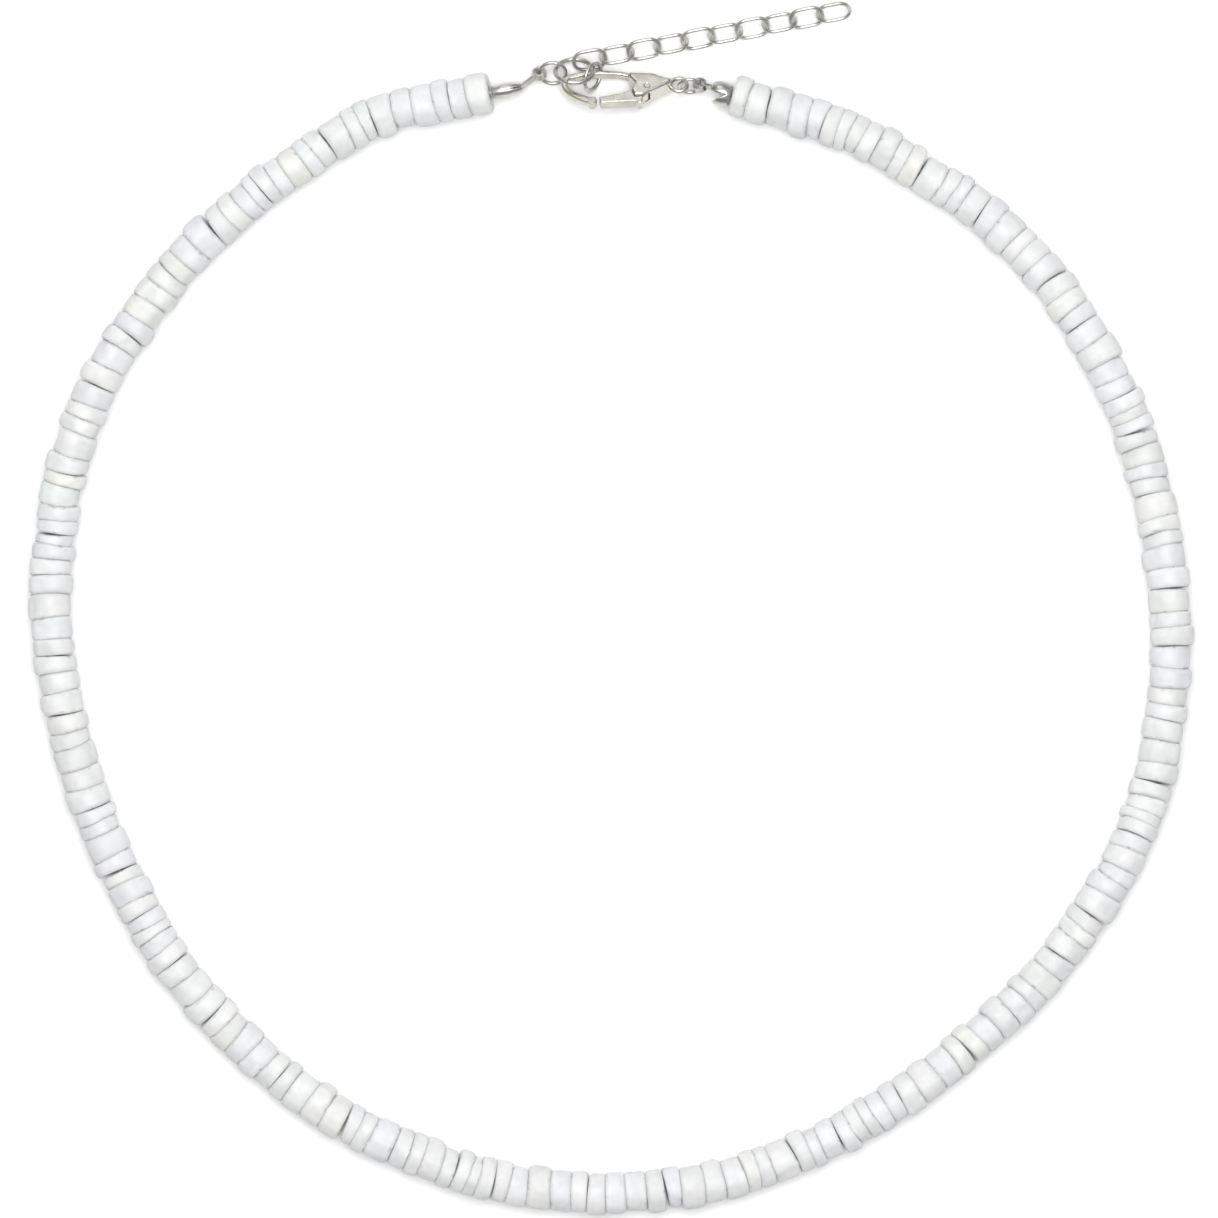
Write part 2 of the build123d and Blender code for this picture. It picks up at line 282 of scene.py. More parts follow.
@dataclass(frozen=True)
class Solid:
    """One closed solid of a CAD node: its merged points, triangles, and their normals and areas."""

    points: np.ndarray
    triangles: np.ndarray
    normals: np.ndarray
    areas: np.ndarray

    @classmethod
    def all_of(cls, node: str) -> list["Solid"]:
        """Splits a CAD node into its solids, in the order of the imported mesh.

        Args:
            node: The CAD node's name.

        Returns:
            One entry for each solid.
        """
        mesh = bmesh.new()
        mesh.from_mesh(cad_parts[node].data)
        bmesh.ops.remove_doubles(mesh, verts=mesh.verts, dist=MERGE_DISTANCE)
        bmesh.ops.triangulate(mesh, faces=mesh.faces)
        mesh.verts.ensure_lookup_table()
        owner = [-1] * len(mesh.verts)
        count = 0
        for first in mesh.verts:
            if owner[first.index] >= 0:
                continue
            owner[first.index] = count
            waiting = [first]
            while waiting:
                for edge in waiting.pop().link_edges:
                    for vertex in edge.verts:
                        if owner[vertex.index] < 0:
                            owner[vertex.index] = count
                            waiting.append(vertex)
            count += 1
        places = np.array([vertex.co for vertex in mesh.verts], float)
        triangles = np.array([[vertex.index for vertex in face.verts] for face in mesh.faces])
        mesh.free()
        owners = np.array(owner)[triangles[:, 0]]
        solids = []
        for number in range(count):
            own = triangles[owners == number]
            corners = places[own]
            crosses = np.cross(corners[:, 1] - corners[:, 0], corners[:, 2] - corners[:, 0])
            lengths = np.linalg.norm(crosses, axis=1)
            kept = lengths > 0
            solids.append(cls(places, own[kept], crosses[kept] / lengths[kept, None], lengths[kept] / 2))
        return solids

    @property
    def corners(self) -> np.ndarray:
        """The solid's own points."""
        return self.points[np.unique(self.triangles)]

    def axis(self, chosen: np.ndarray) -> np.ndarray:
        """Finds the direction that the chosen triangles' normals turn about.

        Args:
            chosen: True for each triangle that counts.

        Returns:
            A direction of length one.
        """
        normals, areas = self.normals[chosen], self.areas[chosen]
        spread = (normals * areas[:, None]).T @ normals
        return np.linalg.eigh(spread)[1][:, 0]

    def flat_sides(self) -> list[tuple[np.ndarray, np.ndarray]]:
        """Finds the two largest flat sides.

        Returns:
            The normal and the middle of each.
        """
        keys = [tuple(key) for key in np.round(self.normals, 2)]
        sums: dict[tuple, float] = {}
        for key, area in zip(keys, self.areas):
            sums[key] = sums.get(key, 0) + area
        sides = []
        for key in sorted(sums, key=sums.get)[-2:]:
            own = np.array([other == key for other in keys])
            middles = self.points[self.triangles[own]].mean(axis=1)
            weights = self.areas[own][:, None]
            normal = (self.normals[own] * weights).sum(axis=0)
            sides.append((normal / np.linalg.norm(normal), (middles * weights).sum(axis=0) / weights.sum()))
        return sides


def fitted_circle(places: np.ndarray) -> tuple[np.ndarray, float]:
    """Fits a circle to points in a plane.

    Args:
        places: Two numbers for each point.

    Returns:
        The circle's middle and its radius.
    """
    rows = np.column_stack((2 * places, np.ones(len(places))))
    answer = np.linalg.lstsq(rows, (places ** 2).sum(axis=1), rcond=None)[0]
    return answer[:2], math.sqrt(answer[2] + answer[:2] @ answer[:2])


@dataclass(frozen=True)
class DiscSeat:
    """Where one disc sits, read from its CAD solid, in metres.

    A triangle whose normal leans less than WALL_LEAN to a face belongs to the round wall. Points past
    RIM_SHARE of the farthest one are the rim's, and those within BORE_SHARE of the nearest one the bore's.
    """

    WALL_LEAN: ClassVar[float] = 0.5
    RIM_SHARE: ClassVar[float] = 0.96
    BORE_SHARE: ClassVar[float] = 1.5

    middle: np.ndarray
    axis: np.ndarray
    side: np.ndarray
    radius: float
    hole: float
    shift: np.ndarray
    start: np.ndarray
    end: np.ndarray

    @classmethod
    def of(cls, solid: Solid) -> "DiscSeat":
        """Measures a drilled disc.

        Args:
            solid: The disc's CAD solid.

        Returns:
            Its seat. A face is its place on the axis, and its slopes to the side and upwards.
        """
        (first_normal, first), (last_normal, last) = solid.flat_sides()
        lean = np.maximum(abs(solid.normals @ first_normal), abs(solid.normals @ last_normal))
        axis = solid.axis(lean < cls.WALL_LEAN)
        if axis @ (last - first) < 0:
            axis = -axis
        side = np.cross((0, 0, 1), axis)
        side /= np.linalg.norm(side)
        up = np.cross(axis, side)
        middle = (first + last) / 2
        wall = solid.corners - middle
        flat = np.column_stack((wall @ side, wall @ up))
        reach = np.linalg.norm(flat, axis=1)
        shift, radius = fitted_circle(flat[reach > reach.max() * cls.RIM_SHARE])
        hole, hole_radius = fitted_circle(flat[reach < reach.min() * cls.BORE_SHARE])
        middle = middle + side * shift[0] + up * shift[1]
        ends = []
        for normal, place in ((first_normal, first), (last_normal, last)):
            slope = normal @ axis
            ends.append(np.array([normal @ (place - middle), -(normal @ side), -(normal @ up)]) / slope)
        return cls(middle, axis, side, radius, hole_radius, np.array([*(hole - shift), 0]), *ends)

    @property
    def thickness(self) -> float:
        """Distance between the two faces along the axis."""
        return self.end[0] - self.start[0]


@dataclass(frozen=True)
class RingSeat:
    """Where one cut ring lies, read from its CAD solid, in metres and radians.

    A triangle that faces along the wire by more than CAP_FACING belongs to a cut end.
    """

    CAP_FACING: ClassVar[float] = 0.97

    middle: np.ndarray
    side: np.ndarray
    up: np.ndarray
    normal: np.ndarray
    radius: float
    wire_radius: float
    cut_angle: float
    cut_width: float

    @classmethod
    def of(cls, solid: Solid) -> "RingSeat":
        """Measures a ring of round wire.

        Args:
            solid: The ring's CAD solid.

        Returns:
            Its seat, with the angle of its cut.
        """
        middle = solid.corners.mean(axis=0)
        directions = np.linalg.svd(solid.corners - middle)[2]
        side, normal = directions[0], directions[2]
        up = np.cross(normal, side)
        flat = np.column_stack(((solid.corners - middle) @ side, (solid.corners - middle) @ up))
        shift, _ = fitted_circle(flat)
        reach = np.linalg.norm(flat - shift, axis=1)
        middle = middle + side * shift[0] + up * shift[1]
        centres = solid.points[solid.triangles].mean(axis=1) - middle
        headings = np.cross(normal, centres)
        headings /= np.linalg.norm(headings, axis=1)[:, None]
        caps = abs((solid.normals * headings).sum(axis=1)) > cls.CAP_FACING
        angles = np.arctan2(centres[caps] @ up, centres[caps] @ side)
        cut = math.atan2(np.sin(angles).mean(), np.cos(angles).mean())
        outer, inner = reach.max(), reach.min()
        return cls(middle, side, up, normal, (outer + inner) / 2, (outer - inner) / 2, cut,
                   2 * abs(np.sin(angles - cut)).max())


def new_material(name: str) -> tuple[Material, Callable[..., Node]]:
    """Makes a material without nodes.

    Args:
        name: The material's name.

    Returns:
        The material, and add_node for its tree.
    """
    material = bpy.data.materials.new(name)
    material.use_nodes = True
    material.node_tree.nodes.clear()
    return material, partial(add_node, material.node_tree)


@dataclass(frozen=True)
class ShellFinish:
    """Clam shell, cut and drum-tumbled: milky white with a satin gloss, a little see-through at its edges.

    Each disc has its own cast and tone. Clouds and faint growth layers run through it. Dark grey specks on
    its shoulders by the joints are painted shade, standing for the shade in each small worn pit. Lengths are
    in millimetres, as the discs' own coordinates are.
    """

    name: str = "tumbled_clam_shell"
    casts: tuple[str, ...] = ("#E7E7E5", "#E3E4E4", "#E3E3E7", "#E7E7E2", "#E2E5E4", "#E4E4E5", "#E5E6E8")
    tones: tuple[float, float] = (0.925, 0.965)
    cloud_colour: str = "#C9CDCD"
    cloud_mm: float = 2.6
    cloud_span: tuple[float, float] = (0.4, 0.72)
    cloud_share: float = 0.55
    layer_colour: str = "#D9D9D9"
    layer_mm: float = 0.42
    layer_start: float = 0.45
    layer_share: float = 0.16
    # Painted shade: dark grey specks by the joints, standing for the shade in each small worn pit.
    pit_shade_colour: str = "#9A9A96"
    pit_shade_mm: float = 0.8
    pit_shade_span: tuple[float, float] = (0.62, 0.78)
    pit_shade_share: float = 0.7
    pit_shade_zone: tuple[float, float] = (0.25, 0.5)
    grain_mm: float = 0.16
    grain_depth_mm: float = 0.05
    grain_strength: float = 0.12
    gloss_span: tuple[float, float] = (0.3, 0.7)
    roughness: tuple[float, float] = (0.5, 0.66)
    refraction: float = 1.55
    glow_share: float = 0.35
    glow_mm: float = 0.35
    glow_reach: tuple[float, float, float] = (1.0, 0.93, 0.86)

    def material(self) -> Material:
        """Builds the shell's material, whose patterns follow each disc's own coordinates.

        Returns:
            The finished material.
        """
        material, add = new_material(self.name)
        place = add(ATTRIBUTE, attribute_name="disc_place").outputs["Vector"]
        clouds = add(NOISE, {"Vector": place, "Scale": 1 / self.cloud_mm, "Detail": 3.0, "Roughness": 0.55,
                             "Distortion": 0.6})
        gloss = add(MAP_RANGE, {"Value": clouds, **spans(self.gloss_span, self.roughness)})
        grain = add(NOISE, {"Vector": place, "Scale": 1 / self.grain_mm, "Detail": 4.0})
        relief = add("ShaderNodeBump", {"Height": grain, "Strength": self.grain_strength,
                                        "Distance": self.grain_depth_mm * MM})
        shader = add(PRINCIPLED, {
            "Base Color": self.colour(add, place, clouds), "Roughness": gloss, "Normal": relief,
            "IOR": self.refraction, "Subsurface Weight": self.glow_share,
            "Subsurface Radius": self.glow_reach, "Subsurface Scale": self.glow_mm * MM})
        add("ShaderNodeOutputMaterial", {"Surface": shader})
        return material

    def colour(self, add: Callable[..., Node], place: NodeSocket, clouds: Node) -> Node:
        """Builds the colour: a disc's cast under clouds, growth layers, painted pit shade by the joints and
        its tone.

        Args:
            add: Adds a node to the material.
            place: The disc's own coordinates.
            clouds: The noise of the clouds.

        Returns:
            The node that gives the colour.
        """
        cast = add("ShaderNodeValToRGB", {"Fac": add(ATTRIBUTE, attribute_name="disc_cast").outputs["Fac"]})
        stops = cast.color_ramp.elements
        while len(stops) < len(self.casts):
            stops.new(0.5)
        for number, (stop, colour) in enumerate(zip(stops, self.casts)):
            stop.position = number / (len(self.casts) - 1)
            stop.color = linear(colour)
        cloudy = add(MAP_RANGE, {"Value": clouds, **spans(self.cloud_span, (0.0, self.cloud_share))})
        clouded = add(MIX, {0: cloudy, 6: cast, 7: linear(self.cloud_colour)}, data_type="RGBA")
        layers = add("ShaderNodeTexWave", {
            "Vector": place, "Scale": 1 / (self.layer_mm * 2 * math.pi), "Distortion": 2.2, "Detail": 2.0,
            "Detail Scale": 0.7}, bands_direction="Z").outputs["Fac"]
        layered = add(MAP_RANGE, {"Value": layers, "From Min": self.layer_start, "To Max": self.layer_share})
        streaked = add(MIX, {0: layered, 6: clouded, 7: linear(self.layer_colour)}, data_type="RGBA")
        across = add(ATTRIBUTE, attribute_name="disc_across").outputs["Fac"]
        from_middle = add(MATH, (across,), "ABSOLUTE")
        # Painted shade: dark grey specks on the shoulders by the joints, standing for the shade in each
        # small worn pit.
        joint_shade_zone = add(MAP_RANGE, {"Value": from_middle, **spans(self.pit_shade_zone)})
        pit_shade_noise = add(NOISE, {"Vector": place, "Scale": 1 / self.pit_shade_mm, "Detail": 1.0})
        pit_shade_spots = add(MAP_RANGE, {"Value": pit_shade_noise, **spans(self.pit_shade_span, (0.0, self.pit_shade_share))})
        pit_shade_mask = add(MATH, (joint_shade_zone, pit_shade_spots), "MULTIPLY")
        # Mixes the painted pit shade into the colour.
        worn = add(MIX, {0: pit_shade_mask, 6: streaked, 7: linear(self.pit_shade_colour)}, data_type="RGBA")
        tone = add(ATTRIBUTE, attribute_name="disc_tone").outputs["Fac"]
        shade = add(MAP_RANGE, {"Value": tone, **spans((0.0, 1.0), self.tones)})
        return add(VECTOR_MATH, {0: worn, "Scale": shade}, "SCALE")


@dataclass(frozen=True)
class PlateFinish:
    """Silver-tone electroplate over brass or steel, drum-polished: bright, with a fine uneven grain.

    Stains are duller, slightly darker patches, some grains wide. The grain is drawn far coarser than the
    real one, which would not show.
    """

    name: str
    colour: str
    dull_colour: str
    roughness: tuple[float, float]
    grain_mm: float
    relief: float
    relief_depth_mm: float = 0.02
    stain_scale: float = 0.25
    stain_span: tuple[float, float] = (0.4, 0.75)
    gloss_span: tuple[float, float] = (0.3, 0.7)

    def material(self) -> Material:
        """Builds the plated metal's material on object coordinates.

        Returns:
            The finished material.
        """
        material, add = new_material(self.name)
        place = add("ShaderNodeTexCoord").outputs["Object"]
        fine = 1 / (self.grain_mm * MM)
        grain = add(NOISE, {"Vector": place, "Scale": fine, "Detail": 3.0})
        stains = add(NOISE, {"Vector": place, "Scale": self.stain_scale * fine, "Detail": 2.0})
        dull = add(MAP_RANGE, {"Value": stains, **spans(self.stain_span)})
        colour = add(MIX, {0: dull, 6: linear(self.colour), 7: linear(self.dull_colour)}, data_type="RGBA")
        gloss = add(MAP_RANGE, {"Value": grain, **spans(self.gloss_span, self.roughness)})
        bump = add("ShaderNodeBump", {"Height": grain, "Strength": self.relief,
                                      "Distance": self.relief_depth_mm * MM})
        shader = add(PRINCIPLED, {"Base Color": colour, "Metallic": 1.0, "Roughness": gloss, "Normal": bump})
        add("ShaderNodeOutputMaterial", {"Surface": shader})
        return material


@dataclass(frozen=True)
class ThreadFinish:
    """Waxed polyester beading thread, twisted: off-white and matt, with its plies as a fine relief."""

    name: str = "waxed_polyester_thread"
    colour: str = "#E6E3DA"
    roughness: float = 0.72
    twist_mm: float = 0.35
    twist_depth_mm: float = 0.04
    twist_strength: float = 0.5
    unevenness: float = 0.4

    def material(self) -> Material:
        """Builds the thread's material on object coordinates.

        Returns:
            The finished material.
        """
        material, add = new_material(self.name)
        place = add("ShaderNodeTexCoord").outputs["Object"]
        twist = add("ShaderNodeTexWave", {
            "Vector": place, "Scale": 1 / (self.twist_mm * MM * 2 * math.pi), "Distortion": self.unevenness},
            bands_direction="DIAGONAL").outputs["Fac"]
        bump = add("ShaderNodeBump", {"Height": twist, "Strength": self.twist_strength,
                                      "Distance": self.twist_depth_mm * MM})
        shader = add(PRINCIPLED, {"Base Color": linear(self.colour), "Roughness": self.roughness,
                                  "Normal": bump})
        add("ShaderNodeOutputMaterial", {"Surface": shader})
        return material


# Cast and tumbled before plating: a warm grey with a soft gleam and wide duller patches.
NICKEL_SILVER = PlateFinish("nickel_silver_plate", "#D0CEC5", "#AFADA1", roughness=(0.24, 0.36),
                            grain_mm=0.9, relief=0.05)
# Drawn and stamped before plating: a cooler grey with a finer grain.
RHODIUM = PlateFinish("rhodium_plate", "#CBCAC6", "#ADACA6", roughness=(0.26, 0.4),
                      grain_mm=0.5, relief=0.08)


@dataclass(frozen=True)
class RimNoise:
    """A noise on a circle that stands for a disc's rim, moved on by apart from one disc to the next.

    Its values count from level on.
    """

    scale: float
    detail: float
    apart: float
    level: float


@dataclass
class ShellStrand:
    """Half of the string of discs: each CAD disc becomes a worn, slightly uneven one.

    A disc's profile runs from nought, in the middle of its rim, to one, at its bore.

    Attributes:
        edge: Width of the worn shoulder, as far as edge_share of the thickness allows.
        edge_limit: The share of the thickness that shoulder and chips may take.
        rim_part: Where the straight rim ends in the profile.
        chip_part: From where chips are as deep as they get.
        face_part: Where the flat face starts.
        shoulder_turn: How far the shoulder turns before it meets the face.
        shoulder_drop: How deep the shoulder is for its width.
        growth: How far a face stands out from its CAD face, into the gap beside it.
        waviness: How far the rim strays in one slow wave.
        roughness: How far it strays in short ones.
        chip_depth: How far chips widen the shoulder.
        pattern_step: How far the pattern moves on at each disc, in millimetres.
    """

    WAVE: ClassVar[RimNoise] = RimNoise(scale=0.8, detail=0.0, apart=3.7, level=0.55)
    WEAR: ClassVar[RimNoise] = RimNoise(scale=2.1, detail=2.0, apart=2.9, level=0.5)
    CHIPS: ClassVar[RimNoise] = RimNoise(scale=2.6, detail=2.0, apart=5.3, level=0.5)
    DEEPEST_CHIP: ClassVar[float] = 0.78

    node: str
    finish: Material
    seed: int
    angle_steps: int = 46
    profile_steps: int = 15
    edge: float = 0.85 * MM
    edge_share: float = 0.42
    edge_limit: float = 0.47
    rim_part: float = 1 / 7
    chip_part: float = 3 / 7
    face_part: float = 4 / 7
    shoulder_turn: float = math.radians(44)
    shoulder_drop: float = 1.2
    growth: float = 0.062 * MM
    waviness: float = 0.9 * MM
    roughness: float = 0.5 * MM
    chip_depth: float = 0.4 * MM
    pattern_step: tuple[float, float] = (7.1, -4.3)

    def build(self) -> Object:
        """Makes the strand's piece and dresses it.

        Returns:
            The finished piece.
        """
        seats = [DiscSeat.of(solid) for solid in Solid.all_of(self.node)]
        columns = {"disc_" + name: [getattr(seat, name) for seat in seats]
                   for name in ("middle", "axis", "side", "radius", "hole", "shift", "start", "end")}
        columns["disc_edge"] = [min(self.edge, self.edge_share * seat.thickness) for seat in seats]
        columns["disc_limit"] = [self.edge_limit * seat.thickness for seat in seats]
        columns["disc_number"] = list(range(len(seats)))
        name = self.node.replace("bead_strand", "shell_discs")
        piece = point_carrier(name, columns["disc_middle"], columns)
        DiscTree(self).run(piece)
        for label in columns:
            if label in piece.data.attributes:
                piece.data.attributes.remove(piece.data.attributes[label])
        dress(piece, Body.NECKLACE, Slot.SHELL, self.node)
        return piece


class DiscTree(GeometryTree):
    """The tree that lathes one disc, repeats it on the seats and fits each copy between its two faces."""

    NUMBERS: ClassVar[tuple[str, ...]] = ("turn", "across", "number", "radius", "hole", "edge", "limit")
    VECTORS: ClassVar[tuple[str, ...]] = ("shift", "start", "end", "middle", "axis", "side")

    def __init__(self, strand: ShellStrand) -> None:
        """Names the strand's sizes as inputs and adds all nodes.

        Args:
            strand: The strand with its sizes and its material.
        """
        super().__init__("shell_discs", {
            "Angle steps": strand.angle_steps, "Profile steps": strand.profile_steps,
            "Face growth": strand.growth, "Waviness": strand.waviness, "Roughness": strand.roughness,
            "Chip depth": strand.chip_depth, "Shoulder turn": strand.shoulder_turn,
            "Shoulder drop": strand.shoulder_drop, "Seed": strand.seed})
        self.strand = strand
        copies = self.add("GeometryNodeInstanceOnPoints", {"Points": self.coloured_seats(),
                                                           "Instance": self.unrolled_disc()})
        discs = self.add("GeometryNodeRealizeInstances", {"Geometry": copies})
        self.own = {name: self.add(NAMED, {"Name": "disc_" + name}, data_type=kind)
                    for kind, names in (("FLOAT", self.NUMBERS), ("FLOAT_VECTOR", self.VECTORS))
                    for name in names}
        angle = self.add(MATH, (self.own["turn"], 2 * math.pi), "MULTIPLY")
        self.around = {"X": self.add(MATH, (angle,), "COSINE"), "Y": self.add(MATH, (angle,), "SINE")}
        self.depth = self.add(MATH, (self.own["across"],), "ABSOLUTE")
        placed = self.placed(discs, *self.profile())
        closed = self.add("GeometryNodeMergeByDistance", {"Geometry": placed, "Distance": MERGE_DISTANCE})
        self.finish(closed, strand.finish)

    def unrolled_disc(self) -> Node:
        """Makes a grid that stands for a disc's surface, and stores where each point goes.

        Returns:
            The grid with disc_turn, from nought to one round the disc, and disc_across, from minus one at
            one end of the bore to one at the other.
        """
        add = self.add
        place = add(SEPARATE, (add("GeometryNodeInputPosition"),))
        steps, lines = {}, {}
        for axis, count in (("X", self.inputs["Angle steps"]), ("Y", self.inputs["Profile steps"])):
            from_start = add(MATH, (place.outputs[axis], 0.5), "ADD")
            scaled = add(MATH, (from_start, count), "MULTIPLY")
            step = add(MATH, (scaled,), "ROUND")
            steps[axis] = add(MATH, (step, count), "MODULO")
            lines[axis] = add(MATH, (count, 1.0), "ADD")
        turn = add(MATH, (steps["X"], self.inputs["Angle steps"]), "DIVIDE")
        last = add(MATH, (self.inputs["Profile steps"], 1.0), "SUBTRACT")
        along = add(MATH, (steps["Y"], last), "DIVIDE")
        across = add(MATH, (along, 2.0, -1.0), "MULTIPLY_ADD")
        grid = add("GeometryNodeMeshGrid", {"Size X": 1.0, "Size Y": 1.0, "Vertices X": lines["X"],
                                            "Vertices Y": lines["Y"]})
        for label, value in (("disc_turn", turn), ("disc_across", across)):
            grid = add(STORE, {"Geometry": grid, "Name": label, "Value": value})
        return grid

    def coloured_seats(self) -> Node:
        """Stores a random cast and tone for each disc.

        Returns:
            The seats' points with disc_cast and disc_tone.
        """
        seats, seed = self.inputs["Geometry"], self.inputs["Seed"]
        next_seed = self.add(MATH, (seed, 1.0), "ADD")
        for label, own_seed in (("disc_cast", seed), ("disc_tone", next_seed)):
            number = self.add("GeometryNodeInputIndex")
            value = self.add("FunctionNodeRandomValue", {"ID": number, "Seed": own_seed})
            seats = self.add(STORE, {"Geometry": seats, "Name": label, "Value": value})
        return seats

    def rim_noise(self, noise: RimNoise, offset: Node | float) -> Node:
        """Adds a noise round the rim, the same for no two discs.

        Args:
            noise: The noise's settings.
            offset: Where it is across the disc.

        Returns:
            The node that gives the noise.
        """
        along = self.add(MATH, (self.own["number"], noise.apart, offset), "MULTIPLY_ADD")
        place = self.add(COMBINE, {**self.around, "Z": along})
        return self.add(NOISE, {"Vector": place, "Scale": noise.scale, "Detail": noise.detail})

    def profile(self) -> tuple[Node, ...]:
        """Works out a point's place on its disc: a worn rim, round shoulders, flat faces and a bore.

        Returns:
            The place towards the disc's side, upwards and along its axis.
        """
        add, own, size = self.add, self.own, self.inputs
        edge = self.worn_edge()
        bend = add(MAP_RANGE, {"Value": self.depth, "From Min": self.strand.rim_part,
                               "From Max": self.strand.face_part, "To Max": size["Shoulder turn"]})
        bend_cosine = add(MATH, (bend,), "COSINE")
        fallen = add(MATH, (1.0, bend_cosine), "SUBTRACT")
        shoulder = add(MATH, (edge, size["Shoulder drop"]), "MULTIPLY")
        drop = add(MATH, (shoulder, fallen), "MULTIPLY")
        rim = add(MATH, (self.uneven_rim(), drop), "SUBTRACT")
        inward = add(MAP_RANGE, {"Value": self.depth, "From Min": self.strand.face_part})
        reach = add(MIX, {0: inward, 2: rim, 3: own["hole"]})
        shift = add(SEPARATE, (own["shift"],))
        flat = []
        for axis, turn in self.around.items():
            centred = add(MATH, (reach, turn), "MULTIPLY")
            moved = add(MATH, (inward, shift.outputs[axis]), "MULTIPLY")
            flat.append(add(MATH, (centred, moved), "ADD"))
        full_sine = add(MATH, (size["Shoulder turn"],), "SINE")
        bend_sine = add(MATH, (bend,), "SINE")
        left = add(MATH, (full_sine, bend_sine), "SUBTRACT")
        inset = add(MATH, (edge, left), "MULTIPLY")
        return *flat, self.between_faces(flat, inset)

    def uneven_rim(self) -> Node:
        """Works out the rim's radius, worn in from the CAD disc's in a slow wave and in short ones.

        Returns:
            The node that gives the radius.
        """
        strays = []
        for noise, offset, amount in ((self.strand.WAVE, 0.0, self.inputs["Waviness"]),
                                      (self.strand.WEAR, self.own["across"], self.inputs["Roughness"])):
            centred = self.add(MATH, (self.rim_noise(noise, offset), noise.level), "SUBTRACT")
            strays.append(self.add(MATH, (centred, amount), "MULTIPLY"))
        stray = self.add(MATH, tuple(strays), "ADD")
        worn = self.add(MATH, (stray, 0.0), "MINIMUM")
        return self.add(MATH, (self.own["radius"], worn), "ADD")

    def worn_edge(self) -> Node:
        """Works out the shoulder's width, wider where the disc's edge is chipped.

        Returns:
            The node that gives the width.
        """
        add, strand = self.add, self.strand
        which_side = add(MATH, (self.own["across"],), "SIGN")
        chips = self.rim_noise(strand.CHIPS, which_side)
        chipped = add(MAP_RANGE, {"Value": chips, "From Min": strand.CHIPS.level,
                                  "From Max": strand.DEEPEST_CHIP, "To Max": self.inputs["Chip depth"]})
        near_edge = add(MAP_RANGE, {"Value": self.depth, "From Min": strand.rim_part,
                                    "From Max": strand.chip_part})
        chip = add(MATH, (chipped, near_edge), "MULTIPLY")
        widened = add(MATH, (self.own["edge"], chip), "ADD")
        return add(MATH, (widened, self.own["limit"]), "MINIMUM")

    def between_faces(self, flat: list[Node], inset: Node) -> Node:
        """Works out the place along the axis, between the disc's two leaning faces.

        Args:
            flat: The place towards the disc's side and upwards.
            inset: How far the shoulder stays behind the face.

        Returns:
            The node that gives the place.
        """
        add = self.add
        stand = add(MATH, (self.inputs["Face growth"], inset), "SUBTRACT")
        faces = []
        for name, outward in (("start", -1.0), ("end", 1.0)):
            plane = add(SEPARATE, (self.own[name],)).outputs
            sideways = add(MATH, (plane["Y"], flat[0]), "MULTIPLY")
            upwards = add(MATH, (plane["Z"], flat[1]), "MULTIPLY")
            slope = add(MATH, (sideways, upwards), "ADD")
            face = add(MATH, (plane["X"], slope), "ADD")
            proud = add(MATH, (stand, outward), "MULTIPLY")
            faces.append(add(MATH, (face, proud), "ADD"))
        share = add(MATH, (self.own["across"], 0.5 / self.strand.rim_part, 0.5), "MULTIPLY_ADD",
                    use_clamp=True)
        return add(MIX, {0: share, 2: faces[0], 3: faces[1]})

    def placed(self, discs: Node, *places: Node) -> Node:
        """Puts the discs' points in their places, and stores the shell's own coordinates.

        Args:
            discs: The unrolled discs.
            places: The place towards the disc's side, upwards and along its axis.

        Returns:
            The discs in place, with disc_place in millimetres.
        """
        add, own = self.add, self.own
        up = add(VECTOR_MATH, (own["axis"], own["side"]), "CROSS_PRODUCT")
        spot = own["middle"]
        for direction, amount in zip((own["side"], up, own["axis"]), places):
            offset = add(VECTOR_MATH, {0: direction, "Scale": amount}, "SCALE")
            spot = add(VECTOR_MATH, (spot, offset), "ADD")
        in_mm = add(VECTOR_MATH, {0: add(COMBINE, places), "Scale": 1 / MM}, "SCALE")
        apart = add(COMBINE, tuple(add(MATH, (own["number"], step), "MULTIPLY")
                                   for step in self.strand.pattern_step))
        pattern = add(VECTOR_MATH, (in_mm, apart), "ADD")
        marked = add(STORE, {"Geometry": discs, "Name": "disc_place", "Value": pattern},
                     data_type="FLOAT_VECTOR")
        return add("GeometryNodeSetPosition", {"Geometry": marked, "Position": spot})


